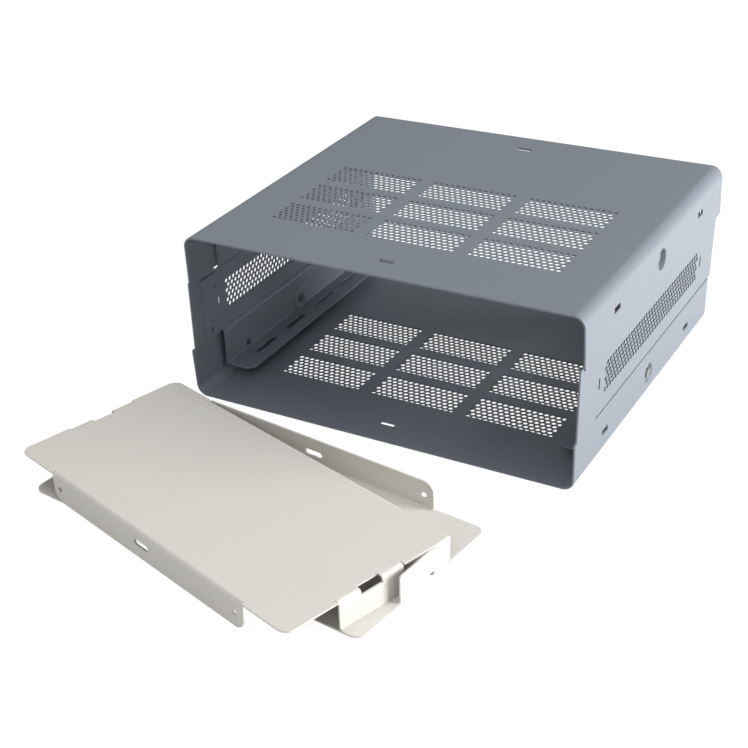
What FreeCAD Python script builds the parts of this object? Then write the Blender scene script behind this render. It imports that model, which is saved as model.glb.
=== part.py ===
import FreeCAD, Part
import Sketcher
import os
from FreeCAD import Placement, Rotation, Vector

# Sheet metal chassis in millimetres: two folded shells, two side panels with
# joggled edges and folded rails, four end brackets, screws with nuts, and two
# loose cover panels.  Z is up, the open front faces -Y, and the origin is at
# the middle of the base.  Every sub-part is drawn about the chassis's middle
# height and then placed.

SIZES = [
    ("chassis_width", 328.0),  # over the outer faces of the side panels
    ("chassis_height", 140.0),
    ("chassis_depth", 300.0),
    ("gauge", 1.5),  # thickness of every sheet
    ("shell_drop", 40.0),  # height of a shell's side flange
    ("shell_bend", 7.5),  # inner radius of a shell's two bends
    ("proud_side", 1.0),  # how far one shell flange stands outside the side panel
    ("proud_splay", 2.0),  # and how much further at its edge
    ("flush_side", 0.4),  # how far the other shell flange stands inside it
    ("flush_tuck", 0.7),  # and how much further at its edge
    ("seam_gap", 3.35),  # open seam between a shell and a side panel
    ("vent_length", 74.0),  # one field of vent holes, along X
    ("vent_depth", 32.0),  # one field of vent holes, along Y
    ("vent_hole", 8.0),  # across the flats
    ("vent_columns", 4),
    ("vent_rows", 3),  # odd: short rows lie between the long ones
    ("field_pitch_across", 84.7),
    ("field_pitch_deep", 42.6),
    ("field_count", 3),  # fields each way
    ("field_offset", -31.0),  # middle field's centre, along Y
    ("latch_length", 12.0),  # small slots in the shells' plates and flanges
    ("latch_width", 4.5),
    ("latch_front", -126.0),
    ("latch_rear", 123.0),
    ("side_latch_front", -90.0),
    ("side_latch_rear", 95.0),
    ("side_latch_level", 50.5),  # above the middle height
    ("side_vent_length", 211.0),
    ("side_vent_height", 24.0),
    ("side_vent_hole", 6.5),
    ("side_vent_columns", 11),
    ("side_vent_rows", 3),
    ("side_vent_offset", 3.3),  # centre of the side vents, along Y
    ("slit_length", 9.0),  # upright slits at the ends of the side vents
    ("slit_width", 2.6),
    ("slit_front", -111.7),
    ("slit_rear", 115.3),
    ("joggle_step", 3.1),  # how far a side panel's edge steps inside the shell
    ("joggle_start", 0.6),  # below the panel's edge
    ("tab_length", 225.0),  # length of the stepped edges and their rails
    ("rail_gap", 10.3),  # from the outside of the shell to the rail
    ("rail_width", 25.7),
    ("rail_bend", 1.2),  # inner radius of the fold
    ("rail_corner_across", 4.0),
    ("rail_corner_deep", 7.4),
    ("rail_slot_length", 30.0),
    ("rail_slot_width", 4.0),
    ("rail_slot_pitch", 48.0),
    ("rail_slot_count", 4),
    ("rail_slot_first", -69.5),
    ("rail_slot_inset", 13.0),  # from the rail's free edge
    ("notch_place", -80.0),  # notch at the fold
    ("notch_length", 6.0),
    ("notch_height", 5.0),
    ("screw_place", 4.0),  # along Y
    ("screw_level", 49.0),  # above and below the middle height
    ("recess_bore", 14.6),  # round recess in a shell's flange, for a screw
    ("recess_clearance", 0.2),  # round the recess, where it nests in the rail's web
    ("seat_depth", 1.5),  # how deep the web is pressed in
    ("screw_bore", 4.4),
    ("screw_shank", 4.0),
    ("screw_head", 8.0),
    ("screw_head_height", 2.6),
    ("screw_tip", 0.8),  # beyond the nut
    ("nut_width", 7.0),
    ("nut_height", 3.2),
    ("nut_clearance", 0.1),
    ("bracket_gauge", 1.5),
    ("bracket_edge", 135.0),  # the strip's outer edge, from the middle of the depth
    ("bracket_strip", 8.0),
    ("bracket_low", 26.0),  # below the middle height
    ("bracket_high", 25.5),
    ("upper_lug_reach", 23.0),
    ("upper_lug_height", 22.5),
    ("lower_lug_reach", 15.0),
    ("lower_lug_height", 12.0),
    ("lug_corner", 4.0),
    ("lug_bore", 4.5),
    ("upper_bore_inset", 7.0),  # from the lug's free end
    ("upper_bore_level", 15.0),
    ("lower_bore_inset", 7.0),
    ("lower_bore_level", -21.0),
    ("panel_length", 305.0),
    ("panel_width", 146.0),
    ("panel_height", 23.0),
    ("panel_bend", 1.5),
    ("panel_corner", 8.0),
    ("panel_relief", 1.5),  # width of the notches beside the folds
    ("flange_length", 218.0),
    ("flange_corner", 8.0),
    ("flange_bore", 4.0),
    ("flange_bore_spacing", 202.0),
    ("flange_bore_level", 11.5),
    ("flange_slot_length", 16.0),
    ("flange_slot_width", 4.5),
    ("flange_slot_level", 12.5),
    ("end_flange_length", 57.0),
    ("end_slot_length", 19.0),
    ("end_slot_height", 3.5),  # down the end flange
    ("end_slot_depth", 5.0),  # into the face
    ("upper_panel_across", -44.1),
    ("upper_panel_deep", -290.3),
    ("upper_panel_turn", -17.8),
    ("lower_panel_across", -33.4),
    ("lower_panel_deep", -272.4),
    ("lower_panel_turn", -8.1),
]

doc = FreeCAD.newDocument("SheetMetalChassis")
sheet = doc.addObject("Spreadsheet::Sheet", "size")
for row, (alias, number) in enumerate(SIZES, 1):
    sheet.set(f"A{row}", alias)
    sheet.set(f"B{row}", str(number))
    sheet.setAlias(f"B{row}", alias)
doc.recompute()

# Lengths that several sub-parts share, as expressions over the sheet.
HALF_WIDTH = "(size.chassis_width / 2)"
HALF_HEIGHT = "(size.chassis_height / 2)"
EDGE_LEVEL = f"({HALF_HEIGHT} - size.shell_drop)"
PANEL_EDGE = f"({EDGE_LEVEL} - size.seam_gap)"
WEB_FACE = f"({HALF_WIDTH} - size.joggle_step)"
SEAT = f"({WEB_FACE} - size.seat_depth)"
RAIL_TOP = f"({HALF_HEIGHT} - size.rail_gap)"
RAIL_EDGE = f"({WEB_FACE} - size.rail_width)"
CUP = "(size.recess_bore + 2 * size.gauge)"
POCKET = f"({CUP} + 2 * size.recess_clearance)"
BOSS = f"({POCKET} + 2 * size.gauge)"
DOWN = f"(({HALF_HEIGHT} - size.screw_level) / size.shell_drop)"
PROUD_FACE = f"({HALF_WIDTH} + size.proud_side + size.proud_splay * {DOWN})"
FLUSH_FACE = f"({HALF_WIDTH} - size.flush_side - size.flush_tuck * {DOWN})"
HALF_LENGTH = "(size.panel_length / 2)"
HALF_FLANGE = "(size.flange_length / 2)"
PANEL_SIDE = "(size.panel_width / 2)"
HEXAGON = 1 / 3 ** 0.5  # corner radius of a hexagon, as a share of its flats
AWAY = "500"  # long enough to leave the sheet


def measure(expression):
    """Number that an expression over the sheet gives."""
    return float(sheet.evalExpression(expression))


def origin_plane(body, role):
    """One of the body's own origin planes, found by its role."""
    return next(item for item in body.Origin.OriginFeatures if item.Role == role)


def new_sketch(body, name, role, offset="0"):
    """Sketch on an origin plane, moved along the plane's normal."""
    sketch = body.newObject("Sketcher::SketchObject", name)
    sketch.AttachmentSupport = [(origin_plane(body, role), "")]
    sketch.MapMode = "FlatFace"
    sketch.setExpression("AttachmentOffset.Base.z", offset)
    return sketch


def bind(sketch, kind, *where, to):
    """Add a dimension that follows an expression."""
    number = sketch.addConstraint(Sketcher.Constraint(kind, *where, measure(to)))
    sketch.setExpression(f"Constraints[{number}]", to)


def place_point(sketch, item, end, across, up):
    """Fix one end of a sketch item by its two distances from the origin."""
    bind(sketch, "DistanceX", -1, 1, item, end, to=across)
    bind(sketch, "DistanceY", -1, 1, item, end, to=up)


def draw_outline(sketch, corners):
    """Closed straight outline through corners given as pairs of expressions."""
    spots = [Vector(measure(across), measure(up), 0) for across, up in corners]
    first = sketch.GeometryCount
    count = len(corners)
    for index in range(count):
        sketch.addGeometry(Part.LineSegment(spots[index], spots[(index + 1) % count]), False)
    for index in range(count):
        following = first + (index + 1) % count
        sketch.addConstraint(Sketcher.Constraint("Coincident", first + index, 2, following, 1))
    for index, (across, up) in enumerate(corners):
        place_point(sketch, first + index, 1, across, up)


def draw_box(sketch, left, low, right, high):
    """Rectangle between two opposite corners."""
    draw_outline(sketch, [(left, low), (right, low), (right, high), (left, high)])


def draw_slot(sketch, across, up, wide, tall):
    """Rectangle of a given size about its centre."""
    left, right = f"{across} - {wide} / 2", f"{across} + {wide} / 2"
    low, high = f"{up} - {tall} / 2", f"{up} + {tall} / 2"
    draw_box(sketch, left, low, right, high)


def draw_hexagon(sketch, across, up, flats):
    """Hexagon with two upright flats."""
    half, tip = f"{flats} / 2", f"{flats} * {HEXAGON}"
    draw_outline(sketch, [
        (f"{across} + {half}", f"{up} - {tip} / 2"),
        (f"{across} + {half}", f"{up} + {tip} / 2"),
        (across, f"{up} + {tip}"),
        (f"{across} - {half}", f"{up} + {tip} / 2"),
        (f"{across} - {half}", f"{up} - {tip} / 2"),
        (across, f"{up} - {tip}"),
    ])


def draw_circle(sketch, across, up, diameter):
    """Circle by its centre and diameter."""
    centre = Vector(measure(across), measure(up), 0)
    ring = sketch.addGeometry(Part.Circle(centre, Vector(0, 0, 1), measure(diameter) / 2), False)
    bind(sketch, "Diameter", ring, to=diameter)
    place_point(sketch, ring, 3, across, up)


def pad(body, sketch, length, middle=False, reverse=False):
    """Add a sketch's prism to the body."""
    feature = body.newObject("PartDesign::Pad", f"{sketch.Name}Pad")
    feature.Profile = sketch
    feature.setExpression("Length", length)
    feature.Midplane = middle
    feature.Reversed = reverse
    doc.recompute()
    return feature


def cut_through(body, sketch):
    """Cut a sketch's prism right through the body, both ways."""
    feature = body.newObject("PartDesign::Pocket", f"{sketch.Name}Cut")
    feature.Profile = sketch
    feature.Type = "ThroughAll"
    feature.Midplane = True
    doc.recompute()
    return feature


def cut_blind(body, sketch, length, outward):
    """Cut a prism of a given length, outward along the sketch's normal or inward."""
    feature = body.newObject("PartDesign::Pocket", f"{sketch.Name}Cut")
    feature.Profile = sketch
    feature.setExpression("Length", length)
    feature.Reversed = outward
    doc.recompute()
    return feature


def mirror(body, name, originals, role):
    """Mirror features about an origin plane of the body."""
    feature = body.newObject("PartDesign::Mirrored", name)
    feature.Originals = originals
    feature.MirrorPlane = (origin_plane(body, role), [""])
    body.Tip = feature
    doc.recompute()
    return feature


def repeat(body, name, originals, sketch, steps):
    """Repeat features along a sketch's axes: (axis, spacing, count) for each."""
    grid = body.newObject("PartDesign::MultiTransform", name)
    grid.Originals = originals
    rows = []
    for number, (axis, spacing, count) in enumerate(steps):
        row = body.newObject("PartDesign::LinearPattern", f"{name}Step{number}")
        row.Direction = (sketch, [axis])
        row.Mode = "Spacing"
        row.setExpression("Offset", spacing)
        row.setExpression("Occurrences", count)
        rows.append(row)
    grid.Transformations = rows
    body.Tip = grid
    doc.recompute()
    return grid


def edges_at(feature, spots):
    """Names of the straight edges that pass through the given points."""
    names = []
    for number, edge in enumerate(feature.Shape.Edges, 1):
        for spot in spots:
            if edge.Curve.TypeId == "Part::GeomLine" and \
                    edge.distToShape(Part.Vertex(spot))[0] < 0.01:
                names.append(f"Edge{number}")
    return names


def round_edges(body, name, feature, spots, radius):
    """Fillet the edges that pass through the given points."""
    fillet = body.newObject("PartDesign::Fillet", name)
    fillet.Base = (feature, edges_at(feature, spots))
    fillet.setExpression("Radius", radius)
    doc.recompute()
    return fillet


def perforate(body, name, role, centre, field, counts, hole, fields=()):
    """Staggered hexagonal holes that fill a field, and copies of that field."""
    across, up = centre
    wide, tall = field
    columns, rows = counts
    pitch = f"(({wide} - {hole}) / ({columns} - 1))"
    lift = f"(({tall} - {hole}) / ({rows} - 1))"
    left = f"{across} - ({wide} - {hole}) / 2"
    low = f"{up} - ({tall} - {hole}) / 2"
    long_rows = new_sketch(body, f"{name}Long", role)
    draw_hexagon(long_rows, left, low, hole)
    steps = [("H_Axis", pitch, columns), ("V_Axis", f"2 * {lift}", f"({rows} + 1) / 2")]
    repeat(body, f"{name}LongRows", [cut_through(body, long_rows)], long_rows,
           steps + list(fields))
    short_rows = new_sketch(body, f"{name}Short", role)
    draw_hexagon(short_rows, f"{left} + {pitch} / 2", f"{low} + {lift}", hole)
    steps = [("H_Axis", pitch, f"{columns} - 1"), ("V_Axis", f"2 * {lift}", f"({rows} - 1) / 2")]
    repeat(body, f"{name}ShortRows", [cut_through(body, short_rows)], short_rows,
           [step for step in steps if measure(step[2]) > 1] + list(fields))


def shell_recess(body, name, side, face):
    """Round recess pressed into a shell's flange until it seats on the side panel."""
    sign = "" if side > 0 else "-"
    cup = new_sketch(body, f"{name}Cup", "YZ_Plane", f"{sign}{SEAT}")
    draw_circle(cup, "size.screw_place", "size.screw_level", CUP)
    pad(body, cup, f"{face} - size.gauge / 2 - {SEAT}", reverse=side < 0)
    hollow = new_sketch(body, f"{name}Hollow", "YZ_Plane", f"{sign}({SEAT} + size.gauge)")
    draw_circle(hollow, "size.screw_place", "size.screw_level", "size.recess_bore")
    cut_blind(body, hollow, AWAY, outward=side > 0)


def build_shell(name):
    """Folded shell: a perforated plate with two side flanges, open at front and rear."""
    body = doc.addObject("PartDesign::Body", name)
    proud = f"({HALF_WIDTH} + size.proud_side)"
    flush = f"({HALF_WIDTH} - size.flush_side)"
    proud_edge = f"({proud} + size.proud_splay)"
    flush_edge = f"({flush} - size.flush_tuck)"
    inside = f"{HALF_HEIGHT} - size.gauge"
    profile = new_sketch(body, f"{name}Profile", "XZ_Plane")
    draw_outline(profile, [
        (f"-{flush_edge}", EDGE_LEVEL),
        (f"-{flush}", HALF_HEIGHT),
        (proud, HALF_HEIGHT),
        (proud_edge, EDGE_LEVEL),
        (f"{proud_edge} - size.gauge", EDGE_LEVEL),
        (f"{proud} - size.gauge", inside),
        (f"size.gauge - {flush}", inside),
        (f"size.gauge - {flush_edge}", EDGE_LEVEL),
    ])
    sheet_pad = pad(body, profile, "size.chassis_depth", middle=True)
    outer = [Vector(measure(proud), 0, measure(HALF_HEIGHT)),
             Vector(-measure(flush), 0, measure(HALF_HEIGHT))]
    bent = round_edges(body, f"{name}OuterBends", sheet_pad, outer,
                       "size.shell_bend + size.gauge")
    inner = [Vector(measure(f"{proud} - size.gauge"), 0, measure(inside)),
             Vector(-measure(f"{flush} - size.gauge"), 0, measure(inside))]
    round_edges(body, f"{name}InnerBends", bent, inner, "size.shell_bend")
    shell_recess(body, f"{name}Proud", 1, PROUD_FACE)
    shell_recess(body, f"{name}Flush", -1, FLUSH_FACE)
    side_cuts = new_sketch(body, f"{name}SideCuts", "YZ_Plane")
    draw_circle(side_cuts, "size.screw_place", "size.screw_level", "size.screw_bore")
    for place in ("size.side_latch_front", "size.side_latch_rear"):
        draw_slot(side_cuts, place, "size.side_latch_level", "size.latch_length",
                  "size.latch_width")
    cut_through(body, side_cuts)
    latches = new_sketch(body, f"{name}Latches", "XY_Plane")
    for place in ("size.latch_front", "size.latch_rear"):
        draw_slot(latches, "0", place, "size.latch_length", "size.latch_width")
    cut_through(body, latches)
    fields = [("H_Axis", "size.field_pitch_across", "size.field_count"),
              ("V_Axis", "size.field_pitch_deep", "size.field_count")]
    first = ("-size.field_pitch_across * (size.field_count - 1) / 2",
             "size.field_offset - size.field_pitch_deep * (size.field_count - 1) / 2")
    perforate(body, f"{name}Vents", "XY_Plane", first,
              ("size.vent_length", "size.vent_depth"),
              ("size.vent_columns", "size.vent_rows"), "size.vent_hole", fields)
    return body


def build_side_panel(name):
    """Side panel: a vented plate whose edges step inward and fold into slotted rails."""
    body = doc.addObject("PartDesign::Body", name)
    plate = new_sketch(body, f"{name}Plate", "XZ_Plane")
    draw_box(plate, f"{HALF_WIDTH} - size.gauge", f"-{PANEL_EDGE}", HALF_WIDTH, PANEL_EDGE)
    pad(body, plate, "size.chassis_depth", middle=True)
    start = f"({PANEL_EDGE} - size.joggle_start)"
    lag = "size.gauge * (sqrt(2) - 1)"
    root = f"{start} - 3 * size.gauge"
    edge = new_sketch(body, f"{name}Edge", "XZ_Plane")
    draw_outline(edge, [
        (HALF_WIDTH, root),
        (HALF_WIDTH, start),
        (WEB_FACE, f"{start} + size.joggle_step"),
        (WEB_FACE, RAIL_TOP),
        (RAIL_EDGE, RAIL_TOP),
        (RAIL_EDGE, f"{RAIL_TOP} - size.gauge"),
        (f"{WEB_FACE} - size.gauge", f"{RAIL_TOP} - size.gauge"),
        (f"{WEB_FACE} - size.gauge", f"{start} + size.joggle_step - {lag}"),
        (f"{HALF_WIDTH} - size.gauge", f"{start} - {lag}"),
        (f"{HALF_WIDTH} - size.gauge", root),
    ])
    edge_pad = pad(body, edge, "size.tab_length", middle=True)
    folded = mirror(body, f"{name}LowerEdge", [edge_pad], "XY_Plane")
    web, rail = measure(WEB_FACE), measure(RAIL_TOP)
    outer = [Vector(web, 0, rail), Vector(web, 0, -rail)]
    bent = round_edges(body, f"{name}OuterFolds", folded, outer, "size.rail_bend + size.gauge")
    thick = measure("size.gauge")
    inner = [Vector(web - thick, 0, rail - thick), Vector(web - thick, 0, thick - rail)]
    round_edges(body, f"{name}InnerFolds", bent, inner, "size.rail_bend")
    boss = new_sketch(body, f"{name}Boss", "YZ_Plane", f"{SEAT} - size.gauge")
    draw_circle(boss, "size.screw_place", "size.screw_level", BOSS)
    boss_pad = pad(body, boss, f"{WEB_FACE} - {SEAT} + size.gauge")
    seat = new_sketch(body, f"{name}Seat", "YZ_Plane", SEAT)
    draw_circle(seat, "size.screw_place", "size.screw_level", POCKET)
    seat_cut = cut_blind(body, seat, AWAY, outward=True)
    mirror(body, f"{name}LowerSeat", [boss_pad, seat_cut], "XY_Plane")
    side_cuts = new_sketch(body, f"{name}SideCuts", "YZ_Plane")
    for level in ("size.screw_level", "-size.screw_level"):
        draw_circle(side_cuts, "size.screw_place", level, "size.screw_bore")
    for place in ("size.slit_front", "size.slit_rear"):
        draw_slot(side_cuts, place, "0", "size.slit_width", "size.slit_length")
    for sign in ("", "-"):
        level = f"{sign}({RAIL_TOP} - size.gauge - size.rail_bend - size.notch_height / 2)"
        draw_slot(side_cuts, "size.notch_place", level, "size.notch_length",
                  "size.notch_height")
    cut_through(body, side_cuts)
    corners = new_sketch(body, f"{name}Corners", "XY_Plane")
    for sign in ("-", ""):
        end = f"{sign}size.tab_length / 2"
        turn = f"{sign}(size.tab_length / 2 - size.rail_corner_deep)"
        draw_outline(corners, [(RAIL_EDGE, end),
                               (f"{RAIL_EDGE} + size.rail_corner_across", end),
                               (RAIL_EDGE, turn)])
    cut_through(body, corners)
    slots = new_sketch(body, f"{name}Slots", "XY_Plane")
    draw_slot(slots, f"{RAIL_EDGE} + size.rail_slot_inset", "size.rail_slot_first",
              "size.rail_slot_width", "size.rail_slot_length")
    repeat(body, f"{name}SlotRow", [cut_through(body, slots)], slots,
           [("V_Axis", "size.rail_slot_pitch", "size.rail_slot_count")])
    perforate(body, f"{name}Vents", "YZ_Plane", ("size.side_vent_offset", "0"),
              ("size.side_vent_length", "size.side_vent_height"),
              ("size.side_vent_columns", "size.side_vent_rows"), "size.side_vent_hole")
    return body


def build_bracket(name):
    """End bracket: a flat strip inside a side panel's end, with two bored lugs."""
    body = doc.addObject("PartDesign::Body", name)
    edge = "-size.bracket_edge"
    strip = f"{edge} + size.bracket_strip"
    upper_end = f"{edge} + size.upper_lug_reach"
    lower_end = f"{edge} + size.lower_lug_reach"
    low, high = "-size.bracket_low", "size.bracket_high"
    upper_low = f"{high} - size.upper_lug_height"
    lower_high = f"{low} + size.lower_lug_height"
    face = f"-({HALF_WIDTH} - size.gauge)"
    outline = new_sketch(body, f"{name}Outline", "YZ_Plane", face)
    draw_outline(outline, [
        (edge, low),
        (lower_end, low),
        (lower_end, lower_high),
        (strip, lower_high),
        (strip, upper_low),
        (upper_end, upper_low),
        (upper_end, high),
        (edge, high),
    ])
    sheet_pad = pad(body, outline, "size.bracket_gauge")
    across = measure(f"{face} + size.bracket_gauge / 2")
    corners = [(lower_end, low), (lower_end, lower_high), (upper_end, upper_low),
               (upper_end, high)]
    spots = [Vector(across, measure(deep), measure(up)) for deep, up in corners]
    round_edges(body, f"{name}Rounding", sheet_pad, spots, "size.lug_corner")
    bores = new_sketch(body, f"{name}Bores", "YZ_Plane")
    draw_circle(bores, f"{upper_end} - size.upper_bore_inset", "size.upper_bore_level",
                "size.lug_bore")
    draw_circle(bores, f"{lower_end} - size.lower_bore_inset", "size.lower_bore_level",
                "size.lug_bore")
    cut_through(body, bores)
    return body


def build_screw(name):
    """Pan head screw along X, its head seated in a shell's recess."""
    body = doc.addObject("PartDesign::Body", name)
    head = new_sketch(body, f"{name}Head", "YZ_Plane", f"{SEAT} + size.gauge")
    draw_circle(head, "size.screw_place", "size.screw_level", "size.screw_head")
    pad(body, head, "size.screw_head_height")
    shank = new_sketch(body, f"{name}Shank", "YZ_Plane", f"{SEAT} + size.gauge")
    draw_circle(shank, "size.screw_place", "size.screw_level", "size.screw_shank")
    pad(body, shank, "2 * size.gauge + size.nut_height + size.screw_tip", reverse=True)
    return body


def build_nut(name):
    """Hexagon nut on the inside of a rail's web."""
    body = doc.addObject("PartDesign::Body", name)
    outline = new_sketch(body, f"{name}Outline", "YZ_Plane", f"{SEAT} - size.gauge")
    draw_hexagon(outline, "size.screw_place", "size.screw_level", "size.nut_width")
    draw_circle(outline, "size.screw_place", "size.screw_level",
                "size.screw_shank + 2 * size.nut_clearance")
    pad(body, outline, "size.nut_height", reverse=True)
    return body


def build_cover(name):
    """Loose cover panel: a flat face with two long flanges and two short end flanges."""
    body = doc.addObject("PartDesign::Body", name)
    under = "size.panel_height - size.gauge"
    side_inner = f"({PANEL_SIDE} - size.gauge)"
    channel = new_sketch(body, f"{name}Channel", "YZ_Plane")
    draw_outline(channel, [
        (f"-{PANEL_SIDE}", "0"),
        (f"-{PANEL_SIDE}", "size.panel_height"),
        (PANEL_SIDE, "size.panel_height"),
        (PANEL_SIDE, "0"),
        (side_inner, "0"),
        (side_inner, under),
        (f"-{side_inner}", under),
        (f"-{side_inner}", "0"),
    ])
    feature = pad(body, channel, "size.flange_length", middle=True)
    side, top = measure(PANEL_SIDE), measure("size.panel_height")
    thick = measure("size.gauge")
    outer = [Vector(0, side, top), Vector(0, -side, top)]
    feature = round_edges(body, f"{name}OuterFolds", feature, outer,
                          "size.panel_bend + size.gauge")
    inner = [Vector(0, side - thick, top - thick), Vector(0, thick - side, top - thick)]
    feature = round_edges(body, f"{name}InnerFolds", feature, inner, "size.panel_bend")
    reach = measure(HALF_FLANGE)
    tips = [Vector(along, edge, 0) for along in (-reach, reach)
            for edge in (side - thick / 2, thick / 2 - side)]
    feature = round_edges(body, f"{name}FlangeCorners", feature, tips, "size.flange_corner")
    ends = new_sketch(body, f"{name}Ends", "XY_Plane", under)
    for sign in ("-", ""):
        draw_box(ends, f"{sign}{HALF_FLANGE}", f"-{PANEL_SIDE}", f"{sign}{HALF_LENGTH}",
                 PANEL_SIDE)
    feature = pad(body, ends, "size.gauge")
    length = measure(HALF_LENGTH)
    tips = [Vector(along, edge, top - thick / 2) for along in (-length, length)
            for edge in (-side, side)]
    round_edges(body, f"{name}Corners", feature, tips, "size.panel_corner")
    stop = new_sketch(body, f"{name}EndFlanges", "XZ_Plane")
    for sign in ("-", ""):
        draw_box(stop, f"{sign}({HALF_LENGTH} - size.gauge)", "0", f"{sign}{HALF_LENGTH}",
                 "size.panel_height")
    pad(body, stop, "size.end_flange_length", middle=True)
    reliefs = new_sketch(body, f"{name}Reliefs", "XY_Plane")
    fold = "size.gauge - size.panel_bend"
    for along in ("-", ""):
        for edge in ("-", ""):
            draw_box(reliefs, f"{along}{HALF_FLANGE}", f"{edge}({PANEL_SIDE} - {fold} - 3)",
                     f"{along}({HALF_FLANGE} + size.panel_relief)", f"{edge}({PANEL_SIDE} + 1)")
            draw_box(reliefs, f"{along}({HALF_LENGTH} - {fold} - 4)",
                     f"{edge}(size.end_flange_length / 2)", f"{along}({HALF_LENGTH} + 1)",
                     f"{edge}(size.end_flange_length / 2 + size.panel_relief)")
    feature = cut_through(body, reliefs)
    bends = [Vector(-length, 0, top), Vector(length, 0, top)]
    round_edges(body, f"{name}EndFolds", feature, bends, "size.panel_bend + size.gauge")
    flange_cuts = new_sketch(body, f"{name}FlangeCuts", "XZ_Plane")
    for place in ("-size.flange_bore_spacing / 2", "size.flange_bore_spacing / 2"):
        draw_circle(flange_cuts, place, "size.flange_bore_level", "size.flange_bore")
    draw_slot(flange_cuts, "0", "size.flange_slot_level", "size.flange_slot_length",
              "size.flange_slot_width")
    cut_through(body, flange_cuts)
    end_cuts = new_sketch(body, f"{name}EndCuts", "XY_Plane", "size.panel_height")
    for sign in ("-", ""):
        draw_box(end_cuts, f"{sign}({HALF_LENGTH} - size.end_slot_depth)",
                 "-size.end_slot_length / 2", f"{sign}({HALF_LENGTH} + 1)",
                 "size.end_slot_length / 2")
    cut_blind(body, end_cuts, "size.gauge + size.end_slot_height", outward=False)
    return body


def put(body, label, placement):
    """Label a finished sub-part and place it."""
    body.Label = label
    body.Placement = placement
    parts.append(body)


parts = []
middle = Vector(0, 0, measure(HALF_HEIGHT))
UPRIGHT = Rotation()
TURNED = {
    "y": Rotation(Vector(0, 1, 0), 180),
    "x": Rotation(Vector(1, 0, 0), 180),
    "z": Rotation(Vector(0, 0, 1), 180),
}

put(build_shell("TopShell"), "top_shell", Placement(middle, UPRIGHT))
put(build_shell("BottomShell"), "bottom_shell", Placement(middle, TURNED["y"]))
put(build_side_panel("RightPanel"), "right_side_panel", Placement(middle, UPRIGHT))
put(build_side_panel("LeftPanel"), "left_side_panel", Placement(middle, TURNED["y"]))
for corner, turn in (("front_left", UPRIGHT), ("front_right", TURNED["y"]),
                     ("rear_left", TURNED["x"]), ("rear_right", TURNED["z"])):
    body_name = corner.title().replace("_", "") + "Bracket"
    put(build_bracket(body_name), f"{corner}_bracket", Placement(middle, turn))

# The screw is drawn at the upper right; the others are turned about the depth
# axis or mirrored in height by a turn about their own axis's height.
level = measure("size.screw_level")
screw_places = {
    "upper_right": Placement(middle, UPRIGHT),
    "lower_left": Placement(middle, TURNED["y"]),
    "lower_right": Placement(middle - Vector(0, 0, 2 * level), UPRIGHT),
    "upper_left": Placement(middle + Vector(0, 0, 2 * level), TURNED["y"]),
}
for corner, placement in screw_places.items():
    body_name = corner.title().replace("_", "")
    put(build_screw(f"{body_name}Screw"), f"{corner}_screw", placement)
    put(build_nut(f"{body_name}Nut"), f"{corner}_nut", placement)

# The lower cover lies on its face; the upper one stands in it on its flanges.
upper_spot = Vector(measure("size.upper_panel_across"), measure("size.upper_panel_deep"),
                    measure("size.gauge"))
upper_turn = Rotation(Vector(0, 0, 1), measure("size.upper_panel_turn"))
put(build_cover("UpperCover"), "upper_cover_panel", Placement(upper_spot, upper_turn))
lower_spot = Vector(measure("size.lower_panel_across"), measure("size.lower_panel_deep"),
                    measure("size.panel_height"))
lower_turn = Rotation(Vector(0, 0, 1), measure("size.lower_panel_turn"))
put(build_cover("LowerCover"), "lower_cover_panel",
    Placement(lower_spot, lower_turn * TURNED["x"]))

doc.recompute()
for item in doc.Objects:
    if {"Invalid", "Error"} & set(item.State):
        raise RuntimeError(f"{item.Name} failed: {item.State}")
for body in parts:
    if body.Shape.isNull() or not body.Shape.isValid() or len(body.Shape.Solids) != 1:
        raise RuntimeError(f"{body.Label} is not one sound solid")

os.makedirs("parts", exist_ok=True)
for body in parts:
    body.Shape.exportStep(f"parts/{body.Label}.step")
    print(f"{body.Label}: {body.Shape.Volume:.1f} mm3")
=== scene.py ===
"""Looks of a sheet metal chassis with two loose cover panels, in metres.

The folded sheets are modelled as a sheet worker would make them: a flat plate
is folded by extruding its edges, given its thickness, and then punched.
"""
import math

import bmesh
import bpy
from mathutils import Matrix, Vector


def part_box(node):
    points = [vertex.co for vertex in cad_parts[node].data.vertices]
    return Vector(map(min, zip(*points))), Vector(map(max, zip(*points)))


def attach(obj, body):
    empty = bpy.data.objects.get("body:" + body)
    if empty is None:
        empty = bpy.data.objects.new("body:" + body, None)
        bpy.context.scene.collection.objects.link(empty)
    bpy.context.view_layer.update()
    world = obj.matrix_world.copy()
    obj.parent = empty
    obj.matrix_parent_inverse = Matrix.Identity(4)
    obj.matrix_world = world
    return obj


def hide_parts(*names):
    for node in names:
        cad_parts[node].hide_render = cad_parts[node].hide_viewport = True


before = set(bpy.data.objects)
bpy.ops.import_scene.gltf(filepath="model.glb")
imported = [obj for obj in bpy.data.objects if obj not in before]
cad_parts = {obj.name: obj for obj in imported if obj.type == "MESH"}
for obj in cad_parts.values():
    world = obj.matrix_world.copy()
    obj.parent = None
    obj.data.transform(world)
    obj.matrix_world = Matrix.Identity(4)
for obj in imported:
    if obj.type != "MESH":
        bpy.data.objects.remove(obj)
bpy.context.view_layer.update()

ACROSS, DEEP, UP = Vector((1, 0, 0)), Vector((0, 1, 0)), Vector((0, 0, 1))

# Places within TOUCH are the same. MARGIN and FACE_MARGIN are the room left when
# edges and faces are picked by their place.
TOUCH, MARGIN, FACE_MARGIN = 1e-5, 1e-4, 0.001

# Sheet and punches. THROUGH reaches through one sheet, CASE_THROUGH through the case.
SHEET = 0.0015
RIM_ROUNDING, RIM_ANGLE = 0.0003, math.radians(50)
SMOOTH_ANGLE = math.radians(32)
THROUGH, CASE_THROUGH, COVER_THROUGH = 0.01, 0.4, 0.2
SCREW_BORE = 0.0022
SLOT_ROUNDING = 0.0022
CUP_SIDES = 40

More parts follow.
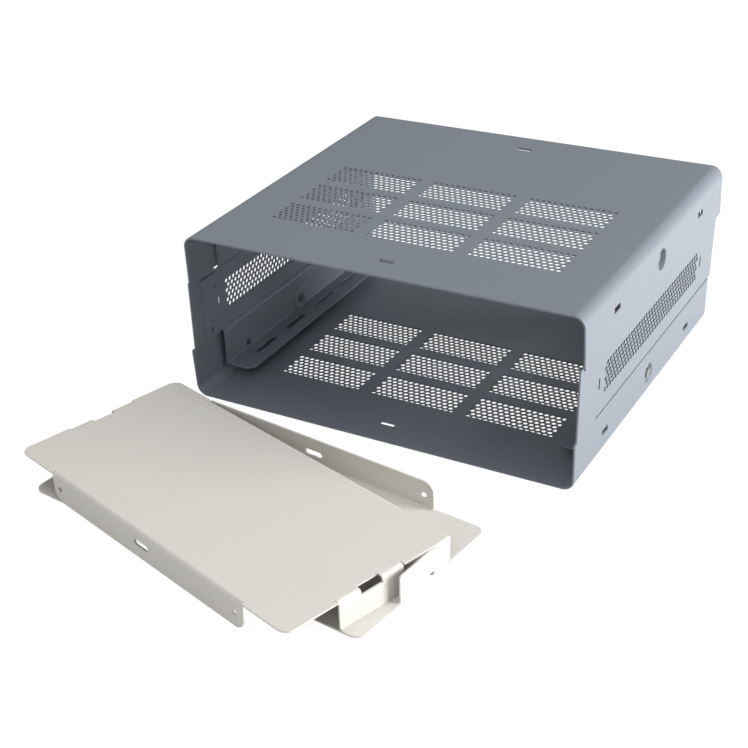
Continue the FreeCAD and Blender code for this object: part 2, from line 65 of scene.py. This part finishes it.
# The case, as the frame has it.
top_low, top_high = (Vector(corner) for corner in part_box("top_shell"))
plate_low, plate_high = (Vector(corner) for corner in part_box("right_side_panel"))
HEIGHT = top_high.z
MIDDLE = HEIGHT / 2
DEPTH = top_high.y - top_low.y
SHELL_DROP = top_high.z - top_low.z
SIDE_FACE = plate_high.x
RAIL_EDGE = plate_low.x
RAIL_TOP = plate_high.z

# Shells: one flange stands proud of the side panel, the other nearly flush.
SHELL_BEND = 0.009
PROUD_EDGE, PROUD_SPLAY = top_high.x, 0.002
FLUSH_BEND, FLUSH_TUCK = 0.1636, 0.0007
LATCH_SLOT, LATCH_ACROSS, LATCH_PLACES = (0.0125, 0.0047), 0.001, (-0.126, 0.123)
FLANGE_SLOT, FLANGE_SLOT_LEVEL = (0.0115, 0.0045), 0.0505
FLANGE_SLOT_PLACES = (-0.09, 0.095)

# Side panels: seams to the shells' flanges, edges that step inward, slotted rails.
SEAM_GAP, SEAM_LIP, SEAM_REST = 0.00335, 0.0022, 0.0001
PLATE_HALF = MIDDLE - SHELL_DROP - SEAM_GAP
JOGGLE_DEPTH, JOGGLE_RISE, JOGGLE_FOLD = 0.0031, 0.0025, 0.0012
WEB_FACE = SIDE_FACE - JOGGLE_DEPTH
TAB_HALF, TAB_SLIT = 0.1125, 0.002
SEAM_END = 0.135
RAIL_LEVEL = RAIL_TOP - MIDDLE
RAIL_FOLD = 0.0027
RAIL_CORNER = 0.0055
RAIL_SLOT, RAIL_SLOT_IN, RAIL_SLOT_START = (0.005, 0.031), 0.013, -0.0695
RAIL_SLOTS, RAIL_SLOT_PITCH = 4, 0.048
RAIL_NOTCH, NOTCH_PLACE, NOTCH_DOWN = (0.006, 0.005), -0.08, 0.0052
SIDE_SLIT, SIDE_SLIT_PLACES = (0.0026, 0.009), (-0.1117, 0.1153)

# Screw recesses: the flange's cup nests in the side panel's well.
SEAT = WEB_FACE - SHEET
SCREW_DEEP, SCREW_LEVEL = 0.004, 0.049
CUP_RADIUS, CUP_CLEARANCE = 0.0088, 0.0002
BOWL_MOUTH, BOWL_FLOOR, BOWL_START = 0.0086, 0.0066, 0.0004
WELL_RADIUS = CUP_RADIUS + CUP_CLEARANCE
BOSS_RADIUS, BOSS_REACH = WELL_RADIUS + SHEET, 0.0022

# Vent fields. The webs are the sheet left where a field is thinned from inside.
HOLE_RADIUS, HOLE_SIDES, PEG_LENGTH = 0.00198, 12, 0.008
VENT_PITCH, VENT_LIFT = 0.005, 0.00465
VENT_COLUMNS, VENT_ROWS = 15, 7
FIELD_ACROSS, FIELD_DEEP, FIELD_OFFSET = 0.0847, 0.0426, -0.031
FIELD_SIZE, FIELD_BORDER = (0.0765, 0.0345), 0.003
FIELD_HOLLOW = SHEET + 0.001
PAN_DEPTH, PAN_SLOPE = 0.0005, 0.0012
SIDE_PITCH, SIDE_LIFT = 0.00538, 0.00425
SIDE_COLUMNS, SIDE_ROWS = 39, 6
SIDE_OFFSET, SIDE_BORDER, SIDE_HOLLOW = 0.0033, 0.002, 0.004
THIN_WEB, SIDE_WEB = 0.0007, 0.001

# Loose covers, drawn face up with the face at zero.
COVER_LENGTH, COVER_WIDTH, COVER_HEIGHT = 0.305, 0.146, 0.023
COVER_BEND, COVER_CORNER = 0.003, 0.008
FLANGE_HALF, FLANGE_ROUNDING = 0.109, 0.008
END_HALF, END_ROUNDING = 0.0285, 0.002
RELIEF, RELIEF_DEPTH = 0.0005, 0.0035
COVER_BORE_PLACE, COVER_BORE_RISE = 0.101, 0.0115
COVER_SLOT, COVER_SLOT_RISE = (0.016, 0.005), 0.0125
END_SLOT, END_SLOT_IN, END_SLOT_LEVEL = (0.007, 0.019, 0.0065), 0.0015, -0.00175
UPPER_TURN, LOWER_TURN = -17.8, -8.1  # degrees about the vertical

FLOOR_SIZE, FLOOR_DROP = 12, 0.0002


# ---- handling a sheet in edit mode ------------------------------------------

def hold(piece):
    """Make a piece the only selected and active one."""
    bpy.ops.object.select_all(action="DESELECT")
    piece.select_set(True)
    bpy.context.view_layer.objects.active = piece


def open_up(piece, kind):
    """Enter edit mode with nothing selected, to work on edges, faces or corners."""
    hold(piece)
    bpy.ops.object.mode_set(mode="EDIT")
    bpy.ops.mesh.select_mode(type=kind)
    bpy.ops.mesh.select_all(action="DESELECT")


def close_up():
    """Leave edit mode."""
    bpy.ops.object.mode_set(mode="OBJECT")


def pick_edges(piece, test):
    """Select the edges whose two ends both pass a test of place."""
    form = bmesh.from_edit_mesh(piece.data)
    for edge in form.edges:
        if all(test(corner.co) for corner in edge.verts):
            edge.select_set(True)
    bmesh.update_edit_mesh(piece.data)


def pick_corners(piece, test):
    """Select the corners that pass a test of place."""
    form = bmesh.from_edit_mesh(piece.data)
    for corner in form.verts:
        if test(corner.co):
            corner.select_set(True)
    bmesh.update_edit_mesh(piece.data)


def pick_faces(piece, test):
    """Select the faces whose middle passes a test of place."""
    form = bmesh.from_edit_mesh(piece.data)
    for face in form.faces:
        if test(face.calc_center_median()):
            face.select_set(True)
    bmesh.update_edit_mesh(piece.data)


def fold_out(piece, test, *steps):
    """Pull the edges at a place out into one new strip of sheet for each step."""
    open_up(piece, "EDGE")
    pick_edges(piece, test)
    for step in steps:
        bpy.ops.mesh.extrude_edges_move(TRANSFORM_OT_translate={"value": step})
    close_up()


def round_fold(piece, test, size, segments):
    """Round the sharp folds at a place."""
    open_up(piece, "EDGE")
    pick_edges(piece, test)
    bpy.ops.mesh.bevel(offset=size, segments=segments, affect="EDGES", profile=0.5)
    close_up()


def slice_sheet(piece, point, normal):
    """Cut the whole sheet along a plane, keeping both sides joined."""
    open_up(piece, "EDGE")
    bpy.ops.mesh.select_all(action="SELECT")
    bpy.ops.mesh.bisect(plane_co=point, plane_no=normal)
    close_up()


def even_out(piece):
    """Make all of a sheet's faces look to the same side."""
    open_up(piece, "FACE")
    bpy.ops.mesh.select_all(action="SELECT")
    bpy.ops.mesh.normals_make_consistent(inside=False)
    close_up()


def near(value, target):
    return abs(value - target) < TOUCH


def apply_all(piece):
    """Put a piece's modifiers into its mesh, in their order."""
    hold(piece)
    for modifier in list(piece.modifiers):
        bpy.ops.object.modifier_apply(modifier=modifier.name)


def thicken(piece):
    """Give a sheet its thickness, inward, and soften its cut edges."""
    wall = piece.modifiers.new("wall", "SOLIDIFY")
    wall.thickness = SHEET
    wall.offset = -1
    wall.use_even_offset = True
    edge = piece.modifiers.new("rim", "BEVEL")
    edge.width = RIM_ROUNDING
    edge.segments = 2
    edge.limit_method = "ANGLE"
    edge.angle_limit = RIM_ANGLE
    apply_all(piece)


# ---- punches ----------------------------------------------------------------

def peg(radius, place, length, along="Z", sides=24):
    """Round punch with its axis along X, Y or Z."""
    turn = {"X": (0, math.pi / 2, 0), "Y": (math.pi / 2, 0, 0), "Z": (0, 0, 0)}[along]
    bpy.ops.object.select_all(action="DESELECT")
    bpy.ops.mesh.primitive_cylinder_add(vertices=sides, radius=radius, depth=length,
                                        location=place, rotation=turn)
    return settle()


def cup_punch(mouth, floor, outside, inside, deep, up):
    """Tapered punch along X, from its wide mouth to its narrower floor."""
    bpy.ops.object.select_all(action="DESELECT")
    side = 1 if outside > inside else -1
    turn = (0, side * math.pi / 2, 0)
    place = ((outside + inside) / 2, deep, up)
    bpy.ops.mesh.primitive_cone_add(vertices=CUP_SIDES, radius1=floor, radius2=mouth,
                                    depth=abs(outside - inside), location=place,
                                    rotation=turn)
    return settle()


def block(size, place, rounding=0.0, along="Z"):
    """Rectangular punch, with the edges along one axis rounded if asked."""
    bpy.ops.object.select_all(action="DESELECT")
    bpy.ops.mesh.primitive_cube_add(size=1, location=place, scale=size)
    piece = settle()
    if rounding:
        axis = "XYZ".index(along)
        open_up(piece, "EDGE")
        form = bmesh.from_edit_mesh(piece.data)
        for edge in form.edges:
            span = edge.verts[0].co - edge.verts[1].co
            edge.select_set(abs(span[axis]) > 0.9 * size[axis])
        bmesh.update_edit_mesh(piece.data)
        bpy.ops.mesh.bevel(offset=rounding, segments=4, affect="EDGES")
        close_up()
    return piece


def settle():
    """Put a new primitive's place, turn and scale into its mesh."""
    bpy.ops.object.transform_apply(location=True, rotation=True, scale=True)
    return bpy.context.view_layer.objects.active


def punch_row(piece, steps):
    """Repeat a punch along one or more directions: (step vector, count) for each."""
    for number, (step, count) in enumerate(steps):
        if count > 1:
            row = piece.modifiers.new(f"row{number}", "ARRAY")
            row.use_relative_offset = False
            row.use_constant_offset = True
            row.constant_offset_displace = step
            row.count = count
    apply_all(piece)
    return piece


def strike(piece, punch, operation="DIFFERENCE"):
    """Cut a punch out of a sheet, or join a formed cup to it."""
    change = piece.modifiers.new("strike", "BOOLEAN")
    change.operation = operation
    change.solver = "MANIFOLD"
    change.object = punch
    apply_all(piece)
    bpy.data.objects.remove(punch, do_unlink=True)


def gather(punches):
    """Join separate punches into one, to strike them together."""
    bpy.ops.object.select_all(action="DESELECT")
    for punch in punches:
        punch.select_set(True)
    bpy.context.view_layer.objects.active = punches[0]
    bpy.ops.object.join()
    return punches[0]


def staggered_pegs(first, step, rise, columns, rows, axis, fields=()):
    """Rows of round punches, every other row set half a step along."""
    long_row = peg(HOLE_RADIUS, first, PEG_LENGTH, axis, HOLE_SIDES)
    punch_row(long_row, [(step, columns), (rise * 2, (rows + 1) // 2), *fields])
    short_row = peg(HOLE_RADIUS, first + step / 2 + rise, PEG_LENGTH, axis, HOLE_SIDES)
    punch_row(short_row, [(step, columns - 1), (rise * 2, rows // 2), *fields])
    return gather([long_row, short_row])


# ---- folded sheets ----------------------------------------------------------

def flat_sheet(name, place, turn, size):
    """Flat rectangular sheet, facing outwards."""
    bpy.ops.object.select_all(action="DESELECT")
    bpy.ops.mesh.primitive_plane_add(size=1, location=place, rotation=turn,
                                     scale=(size[0], size[1], 1))
    piece = bpy.context.view_layer.objects.active
    piece.scale = (size[0], size[1], 1)
    settle()
    piece.name = name
    piece.data.name = name
    return piece


def flange_face(side, level):
    """Outer face of a shell's flange, at a height above the middle."""
    down = (MIDDLE - level) / SHELL_DROP
    if side > 0:
        return PROUD_EDGE - PROUD_SPLAY * (1 - down)
    return -(FLUSH_BEND - FLUSH_TUCK * down)


def fold_shell(name):
    """Perforated plate with two side flanges and nine pressed vent fields."""
    proud = PROUD_EDGE - PROUD_SPLAY
    piece = flat_sheet(name, ((proud - FLUSH_BEND) / 2, 0, HEIGHT), (0, 0, 0),
                       (proud + FLUSH_BEND, DEPTH))
    fold_out(piece, lambda spot: near(spot.x, proud), (PROUD_SPLAY, 0, -SHELL_DROP))
    fold_out(piece, lambda spot: near(spot.x, -FLUSH_BEND), (FLUSH_TUCK, 0, -SHELL_DROP))
    round_fold(piece, lambda spot: near(spot.z, HEIGHT) and
               (near(spot.x, proud) or near(spot.x, -FLUSH_BEND)), SHELL_BEND, 10)
    centres = [Vector((FIELD_ACROSS * column, FIELD_OFFSET + FIELD_DEEP * row, HEIGHT))
               for row in (-1, 0, 1) for column in (-1, 0, 1)]
    press_fields(piece, centres)
    thicken(piece)
    for side in (1, -1):
        press_cup(piece, side)
    for deep in LATCH_PLACES:
        strike(piece, block((*LATCH_SLOT, THROUGH), (LATCH_ACROSS, deep, HEIGHT)))
    for deep in FLANGE_SLOT_PLACES:
        strike(piece, block((CASE_THROUGH, *FLANGE_SLOT),
                            (0, deep, MIDDLE + FLANGE_SLOT_LEVEL)))
    strike(piece, peg(SCREW_BORE, (0, SCREW_DEEP, MIDDLE + SCREW_LEVEL), CASE_THROUGH, "X"))
    punch_fields(piece, centres[0])
    return piece


def press_fields(piece, centres):
    """Press a shallow pan with sloping sides into the plate at each vent field."""
    for number in (-1, 0, 1):
        for side in (-1, 1):
            edge = FIELD_ACROSS * number + side * FIELD_SIZE[0] / 2
            slice_sheet(piece, (edge, 0, 0), ACROSS)
    for number in (-1, 0, 1):
        for side in (-1, 1):
            edge = FIELD_OFFSET + FIELD_DEEP * number + side * FIELD_SIZE[1] / 2
            slice_sheet(piece, (0, edge, 0), DEEP)
    open_up(piece, "FACE")
    pick_faces(piece, lambda spot: any((spot - centre).length < FACE_MARGIN
                                       for centre in centres))
    bpy.ops.mesh.inset(thickness=PAN_SLOPE, depth=0, use_individual=True)
    bpy.ops.transform.translate(value=(0, 0, -PAN_DEPTH))
    close_up()


def press_cup(piece, side):
    """Round recess for a screw head in the flange on one side."""
    level = MIDDLE + SCREW_LEVEL
    face = flange_face(side, SCREW_LEVEL)
    wall = face - side * SHEET / 2
    floor = side * SEAT
    strike(piece, peg(CUP_RADIUS, ((wall + floor) / 2, SCREW_DEEP, level),
                      abs(wall - floor), "X", CUP_SIDES), "UNION")
    strike(piece, cup_punch(BOWL_MOUTH, BOWL_FLOOR, face + side * BOWL_START,
                            side * (SEAT + SHEET), SCREW_DEEP, level))


def punch_fields(piece, corner_field):
    """Thin the nine vent fields from inside and punch their rows of holes."""
    fields = [(ACROSS * FIELD_ACROSS, 3), (DEEP * FIELD_DEEP, 3)]
    roof = HEIGHT - PAN_DEPTH - THIN_WEB
    relief = block((FIELD_SIZE[0] - FIELD_BORDER, FIELD_SIZE[1] - FIELD_BORDER, FIELD_HOLLOW),
                   (corner_field.x, corner_field.y, roof - FIELD_HOLLOW / 2))
    strike(piece, punch_row(relief, fields))
    first = corner_field - Vector((VENT_PITCH * (VENT_COLUMNS - 1) / 2,
                                   VENT_LIFT * (VENT_ROWS - 1) / 2, 0))
    strike(piece, staggered_pegs(first, ACROSS * VENT_PITCH, DEEP * VENT_LIFT,
                                 VENT_COLUMNS, VENT_ROWS, "Z", fields))


def fold_side_panel(name):
    """Vented plate whose long edges step inward and fold into slotted rails."""
    piece = flat_sheet(name, (SIDE_FACE, 0, MIDDLE), (0, math.pi / 2, 0),
                       (2 * PLATE_HALF, DEPTH))
    for side in (-1, 1):
        for place in (TAB_HALF, TAB_HALF + TAB_SLIT, SEAM_END):
            slice_sheet(piece, (0, side * place, 0), DEEP)
    for side in (-1, 1):
        fold_long_edge(piece, side)
    open_up(piece, "VERT")
    pick_corners(piece, lambda spot: near(spot.x, RAIL_EDGE))
    bpy.ops.mesh.bevel(offset=RAIL_CORNER, segments=1, affect="VERTICES")
    close_up()
    round_fold(piece, lambda spot: near(abs(spot.z - MIDDLE), RAIL_LEVEL) and
               near(spot.x, WEB_FACE), RAIL_FOLD, 4)
    round_fold(piece, lambda spot: near(abs(spot.z - MIDDLE), PLATE_HALF + JOGGLE_RISE) and
               near(spot.x, WEB_FACE), JOGGLE_FOLD, 3)
    even_out(piece)
    face_outwards(piece, ACROSS)
    thicken(piece)
    for side in (1, -1):
        press_well(piece, side)
        notch = MIDDLE + side * (RAIL_LEVEL - NOTCH_DOWN)
        strike(piece, block((THROUGH, *RAIL_NOTCH), (WEB_FACE, NOTCH_PLACE, notch)))
    slot = block((*RAIL_SLOT, THROUGH),
                 (RAIL_EDGE + RAIL_SLOT_IN, RAIL_SLOT_START, MIDDLE - RAIL_LEVEL), SLOT_ROUNDING)
    strike(piece, punch_row(slot, [(DEEP * RAIL_SLOT_PITCH, RAIL_SLOTS),
                                   (UP * 2 * RAIL_LEVEL, 2)]))
    for deep in SIDE_SLIT_PLACES:
        strike(piece, block((THROUGH, *SIDE_SLIT), (SIDE_FACE, deep, MIDDLE)))
    punch_side_field(piece)
    return piece


def fold_long_edge(piece, side):
    """Lips at the front that narrow and close the seam, then the step and the rail."""
    edge = MIDDLE + side * PLATE_HALF
    fold_out(piece, lambda spot: near(spot.z, edge) and
             TAB_HALF + TAB_SLIT - MARGIN < -spot.y < SEAM_END + MARGIN,
             (0, 0, side * SEAM_LIP))
    fold_out(piece, lambda spot: near(spot.z, edge) and -spot.y > SEAM_END - MARGIN,
             (0, 0, side * (SEAM_GAP - SEAM_REST)))
    fold_out(piece, lambda spot: near(spot.z, edge) and abs(spot.y) < TAB_HALF + MARGIN,
             (WEB_FACE - SIDE_FACE, 0, side * JOGGLE_RISE),
             (0, 0, side * (RAIL_LEVEL - PLATE_HALF - JOGGLE_RISE)),
             (RAIL_EDGE - WEB_FACE, 0, 0))


def press_well(piece, side):
    """Bored well in the rail's web that takes the flange's cup."""
    level = MIDDLE + side * SCREW_LEVEL
    boss = peg(BOSS_RADIUS, (SEAT - SHEET / 2 + BOSS_REACH / 2, SCREW_DEEP, level),
               SHEET + BOSS_REACH, "X", CUP_SIDES)
    soften_end(boss, SEAT - SHEET, BOSS_REACH / 2)
    strike(piece, boss, "UNION")
    strike(piece, peg(WELL_RADIUS, (SEAT + THROUGH / 2, SCREW_DEEP, level), THROUGH, "X",
                      CUP_SIDES))
    strike(piece, peg(SCREW_BORE, (SEAT, SCREW_DEEP, level), 2 * THROUGH, "X"))


def punch_side_field(piece):
    """Thin the side's vent field from inside and punch its rows of holes."""
    long_side = SIDE_PITCH * (SIDE_COLUMNS - 1)
    short_side = SIDE_LIFT * (SIDE_ROWS - 1)
    border = 2 * HOLE_RADIUS + SIDE_BORDER
    strike(piece, block((SIDE_HOLLOW, long_side + border, short_side + border),
                        (SIDE_FACE - SIDE_WEB - SIDE_HOLLOW / 2, SIDE_OFFSET, MIDDLE)))
    first = Vector((SIDE_FACE, SIDE_OFFSET - long_side / 2, MIDDLE - short_side / 2))
    strike(piece, staggered_pegs(first, DEEP * SIDE_PITCH, UP * SIDE_LIFT,
                                 SIDE_COLUMNS, SIDE_ROWS, "X"))


def face_outwards(piece, outward):
    """Turn the sheet over if its plate faces inward."""
    plate = max(piece.data.polygons, key=lambda face: face.area)
    if plate.normal.dot(outward) < 0:
        open_up(piece, "FACE")
        bpy.ops.mesh.select_all(action="SELECT")
        bpy.ops.mesh.flip_normals()
        close_up()


def soften_end(piece, level, size):
    """Round the circular edge of a peg at one end along X."""
    open_up(piece, "EDGE")
    pick_edges(piece, lambda spot: near(spot.x, level))
    bpy.ops.mesh.bevel(offset=size, segments=4, affect="EDGES")
    close_up()


def fold_cover(name):
    """Flat face with two long flanges and two short end flanges, face up at zero."""
    length, width = COVER_LENGTH / 2, COVER_WIDTH / 2
    piece = flat_sheet(name, (0, 0, 0), (0, 0, 0), (COVER_LENGTH, COVER_WIDTH))
    open_up(piece, "VERT")
    bpy.ops.mesh.select_all(action="SELECT")
    bpy.ops.mesh.bevel(offset=COVER_CORNER, segments=6, affect="VERTICES")
    close_up()
    relieve_bends(piece, length, width)
    drop = (0, 0, -COVER_HEIGHT)
    fold_out(piece, lambda spot: near(abs(spot.y), width) and
             abs(spot.x) < FLANGE_HALF + TOUCH, drop)
    fold_out(piece, lambda spot: near(abs(spot.x), length) and
             abs(spot.y) < END_HALF + TOUCH, drop)
    for reach, rounding in (((FLANGE_HALF, width), FLANGE_ROUNDING),
                            ((length, END_HALF), END_ROUNDING)):
        open_up(piece, "VERT")
        pick_corners(piece, lambda spot: near(spot.z, -COVER_HEIGHT) and
                     near(abs(spot.x), reach[0]) and near(abs(spot.y), reach[1]))
        bpy.ops.mesh.bevel(offset=rounding, segments=6, affect="VERTICES")
        close_up()
    round_fold(piece, lambda spot: near(spot.z, 0) and near(abs(spot.y), width) and
               abs(spot.x) < FLANGE_HALF + TOUCH, COVER_BEND, 5)
    round_fold(piece, lambda spot: near(spot.z, 0) and near(abs(spot.x), length) and
               abs(spot.y) < END_HALF + TOUCH, COVER_BEND, 5)
    even_out(piece)
    face_outwards(piece, UP)
    thicken(piece)
    for along in (-COVER_BORE_PLACE, COVER_BORE_PLACE):
        strike(piece, peg(SCREW_BORE, (along, 0, COVER_BORE_RISE - COVER_HEIGHT),
                          COVER_THROUGH, "Y"))
    slot_length, slot_height = COVER_SLOT
    strike(piece, block((slot_length, COVER_THROUGH, slot_height),
                        (0, 0, COVER_SLOT_RISE - COVER_HEIGHT), SLOT_ROUNDING, "Y"))
    for side in (-1, 1):
        strike(piece, block(END_SLOT, (side * (length - END_SLOT_IN), 0, END_SLOT_LEVEL)))
    return piece


def relieve_bends(piece, length, width):
    """Cut the small slits at the flanges' ends that let the sheet bend."""
    for side in (-1, 1):
        for place in (FLANGE_HALF, FLANGE_HALF + RELIEF, length - RELIEF_DEPTH):
            slice_sheet(piece, (side * place, 0, 0), ACROSS)
        for place in (END_HALF, END_HALF + RELIEF, width - RELIEF_DEPTH):
            slice_sheet(piece, (0, side * place, 0), DEEP)
    open_up(piece, "FACE")
    pick_faces(piece, lambda spot: (near(abs(spot.x), FLANGE_HALF + RELIEF / 2) and
                                    abs(spot.y) > width - RELIEF_DEPTH) or
               (near(abs(spot.y), END_HALF + RELIEF / 2) and
                abs(spot.x) > length - RELIEF_DEPTH))
    bpy.ops.mesh.delete(type="FACE")
    close_up()


def lay_cover(piece, node, angle, flipped):
    """Put a cover where its node lies, standing on its flanges or lying on its face."""
    low, high = (Vector(corner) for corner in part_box(node))
    place = (low + high) / 2
    place.z = low.z if flipped else high.z
    turn = Matrix.Rotation(math.radians(angle), 4, "Z")
    if flipped:
        turn @= Matrix.Rotation(math.pi, 4, "X")
    piece.data.transform(Matrix.Translation(place) @ turn)


def turned_copy(piece, name):
    """Copy of a sheet turned half round about the chassis's depth axis."""
    copy = piece.copy()
    copy.data = piece.data.copy()
    copy.name = name
    copy.data.name = name
    bpy.context.collection.objects.link(copy)
    centre = Matrix.Translation((0, 0, MIDDLE))
    copy.data.transform(centre @ Matrix.Rotation(math.pi, 4, "Y") @ centre.inverted())
    return copy


def finish_sheet(piece, node, coat):
    """Shade, coat and hand over a sheet that stands for a node of the frame."""
    hold(piece)
    bpy.ops.object.shade_smooth_by_angle(angle=SMOOTH_ANGLE)
    even = piece.modifiers.new("even", "WEIGHTED_NORMAL")
    even.keep_sharp = True
    apply_all(piece)
    piece.data.materials.clear()
    piece.data.materials.append(coat)
    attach(piece, "root")
    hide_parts(node)


# ---- finishes ---------------------------------------------------------------

def powder_coat(name, colour, speck, roughness, grain):
    """Baked powder coat: a fine orange-peel grain with faint lighter specks."""
    coat = bpy.data.materials.new(name)
    coat.use_nodes = True
    nodes, links = coat.node_tree.nodes, coat.node_tree.links
    shader = nodes["Principled BSDF"]
    place = nodes.new("ShaderNodeTexCoord")
    peel = nodes.new("ShaderNodeTexNoise")
    peel.inputs["Scale"].default_value = grain
    peel.inputs["Detail"].default_value = 3
    links.new(place.outputs["Object"], peel.inputs["Vector"])
    cloud = nodes.new("ShaderNodeTexNoise")
    cloud.inputs["Scale"].default_value = 9
    cloud.inputs["Detail"].default_value = 2
    links.new(place.outputs["Object"], cloud.inputs["Vector"])
    tint = nodes.new("ShaderNodeMix")
    tint.data_type = "RGBA"
    tint.inputs["A"].default_value = (*colour, 1)
    tint.inputs["B"].default_value = (*speck, 1)
    share = nodes.new("ShaderNodeMapRange")
    share.inputs["From Min"].default_value = 0.35
    share.inputs["From Max"].default_value = 0.75
    links.new(peel.outputs["Fac"], share.inputs["Value"])
    links.new(share.outputs["Result"], tint.inputs["Factor"])
    links.new(tint.outputs["Result"], shader.inputs["Base Color"])
    gloss = nodes.new("ShaderNodeMapRange")
    gloss.inputs["From Min"].default_value = 0.3
    gloss.inputs["From Max"].default_value = 0.7
    gloss.inputs["To Min"].default_value = roughness - 0.04
    gloss.inputs["To Max"].default_value = roughness + 0.04
    links.new(cloud.outputs["Fac"], gloss.inputs["Value"])
    links.new(gloss.outputs["Result"], shader.inputs["Roughness"])
    bump = nodes.new("ShaderNodeBump")
    bump.inputs["Strength"].default_value = 0.25
    bump.inputs["Distance"].default_value = 0.0002
    links.new(peel.outputs["Fac"], bump.inputs["Height"])
    links.new(bump.outputs["Normal"], shader.inputs["Normal"])
    return coat


def plated_steel(name, colour, roughness):
    """Dark plated steel of the screws and nuts, with a faint cloudy grain."""
    steel = bpy.data.materials.new(name)
    steel.use_nodes = True
    nodes, links = steel.node_tree.nodes, steel.node_tree.links
    shader = nodes["Principled BSDF"]
    shader.inputs["Metallic"].default_value = 0.8
    place = nodes.new("ShaderNodeTexCoord")
    cloud = nodes.new("ShaderNodeTexNoise")
    cloud.inputs["Scale"].default_value = 400
    links.new(place.outputs["Object"], cloud.inputs["Vector"])
    tint = nodes.new("ShaderNodeMix")
    tint.data_type = "RGBA"
    tint.inputs["A"].default_value = (*(0.7 * part for part in colour), 1)
    tint.inputs["B"].default_value = (*colour, 1)
    links.new(cloud.outputs["Fac"], tint.inputs["Factor"])
    links.new(tint.outputs["Result"], shader.inputs["Base Color"])
    shader.inputs["Roughness"].default_value = roughness
    return steel


# ---- studio -----------------------------------------------------------------

def lay_floor():
    """Pale floor that keeps the soft shadows and runs into the white background."""
    bpy.ops.object.select_all(action="DESELECT")
    bpy.ops.mesh.primitive_plane_add(size=FLOOR_SIZE, location=(0, 0, -FLOOR_DROP))
    floor = bpy.context.view_layer.objects.active
    floor.name = "studio_floor"
    white = bpy.data.materials.new("studio_white")
    white.use_nodes = True
    nodes, links = white.node_tree.nodes, white.node_tree.links
    shader = nodes["Principled BSDF"]
    shader.inputs["Base Color"].default_value = (0.86, 0.86, 0.86, 1)
    shader.inputs["Roughness"].default_value = 0.9
    glow = nodes.new("ShaderNodeEmission")
    glow.inputs["Strength"].default_value = 1.08
    ray = nodes.new("ShaderNodeLightPath")
    share = nodes.new("ShaderNodeMath")
    share.operation = "MULTIPLY"
    share.inputs[1].default_value = 0.88
    links.new(ray.outputs["Is Camera Ray"], share.inputs[0])
    mix = nodes.new("ShaderNodeMixShader")
    links.new(share.outputs["Value"], mix.inputs["Fac"])
    links.new(shader.outputs["BSDF"], mix.inputs[1])
    links.new(glow.outputs["Emission"], mix.inputs[2])
    links.new(mix.outputs["Shader"], nodes["Material Output"].inputs["Surface"])
    floor.data.materials.append(white)


def add_lamp(name, place, target, size, power):
    """Soft area lamp that points at a target."""
    lamp = bpy.data.lights.new(name, "AREA")
    lamp.shape = "RECTANGLE"
    lamp.size, lamp.size_y = size
    lamp.energy = power
    holder = bpy.data.objects.new(name, lamp)
    bpy.context.collection.objects.link(holder)
    holder.location = place
    aim = Vector(target) - Vector(place)
    holder.rotation_euler = aim.to_track_quat("-Z", "Y").to_euler()


def light_studio():
    """Bright white surroundings, a strong softbox on the right and two weaker ones."""
    world = bpy.data.worlds.new("studio_world")
    bpy.context.scene.world = world
    world.use_nodes = True
    nodes, links = world.node_tree.nodes, world.node_tree.links
    back = nodes["Background"]
    back.inputs["Color"].default_value = (1, 1, 1, 1)
    ray = nodes.new("ShaderNodeLightPath")
    level = nodes.new("ShaderNodeMapRange")
    level.inputs["To Min"].default_value = 0.3
    level.inputs["To Max"].default_value = 1.0
    links.new(ray.outputs["Is Camera Ray"], level.inputs["Value"])
    links.new(level.outputs["Result"], back.inputs["Strength"])
    add_lamp("right_softbox", (1.6, 0.4, 0.5), (0, 0, 0.07), (0.9, 1.0), 50)
    add_lamp("overhead_softbox", (-0.1, -0.2, 1.9), (0, -0.1, 0.05), (1.6, 1.4), 19)
    add_lamp("front_fill", (0.2, -1.9, 1.2), (0, 0, 0.05), (1.6, 1.0), 8)


def set_camera():
    """Camera in front and to the right, looking down on the chassis and the covers."""
    lens = bpy.data.cameras.new("camera")
    lens.sensor_width = 36
    lens.lens = 67.84
    lens.shift_x = 0.0611
    lens.shift_y = 0.1533
    lens.clip_end = 50
    camera = bpy.data.objects.new("camera", lens)
    bpy.context.collection.objects.link(camera)
    camera.location = (0.4578, -0.9566, 0.5729)
    camera.rotation_euler = [math.radians(angle) for angle in (56.364, 2.603, 30.169)]
    bpy.context.scene.camera = camera


# ---- the chassis ------------------------------------------------------------

dark_coat = powder_coat("dark_powder_coat", (0.145, 0.165, 0.192), (0.19, 0.214, 0.243),
                        0.42, 900)
light_coat = powder_coat("light_powder_coat", (0.56, 0.54, 0.50), (0.64, 0.62, 0.58),
                         0.5, 900)
screw_steel = plated_steel("dark_plated_steel", (0.32, 0.34, 0.36), 0.4)

shell = fold_shell("top_shell_sheet")
other_shell = turned_copy(shell, "bottom_shell_sheet")
finish_sheet(shell, "top_shell", dark_coat)
finish_sheet(other_shell, "bottom_shell", dark_coat)
side = fold_side_panel("right_side_sheet")
other_side = turned_copy(side, "left_side_sheet")
finish_sheet(side, "right_side_panel", dark_coat)
finish_sheet(other_side, "left_side_panel", dark_coat)

for node, angle, flipped in (("upper_cover_panel", UPPER_TURN, False),
                             ("lower_cover_panel", LOWER_TURN, True)):
    cover = fold_cover(node.replace("panel", "sheet"))
    lay_cover(cover, node, angle, flipped)
    finish_sheet(cover, node, light_coat)

for node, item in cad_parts.items():
    if node.endswith("_bracket"):
        coat = dark_coat
    elif node.endswith(("_screw", "_nut")):
        coat = screw_steel
    else:
        continue
    item.data.materials.clear()
    item.data.materials.append(coat)

lay_floor()
light_studio()
set_camera()
bpy.context.scene.view_settings.view_transform = "Standard"
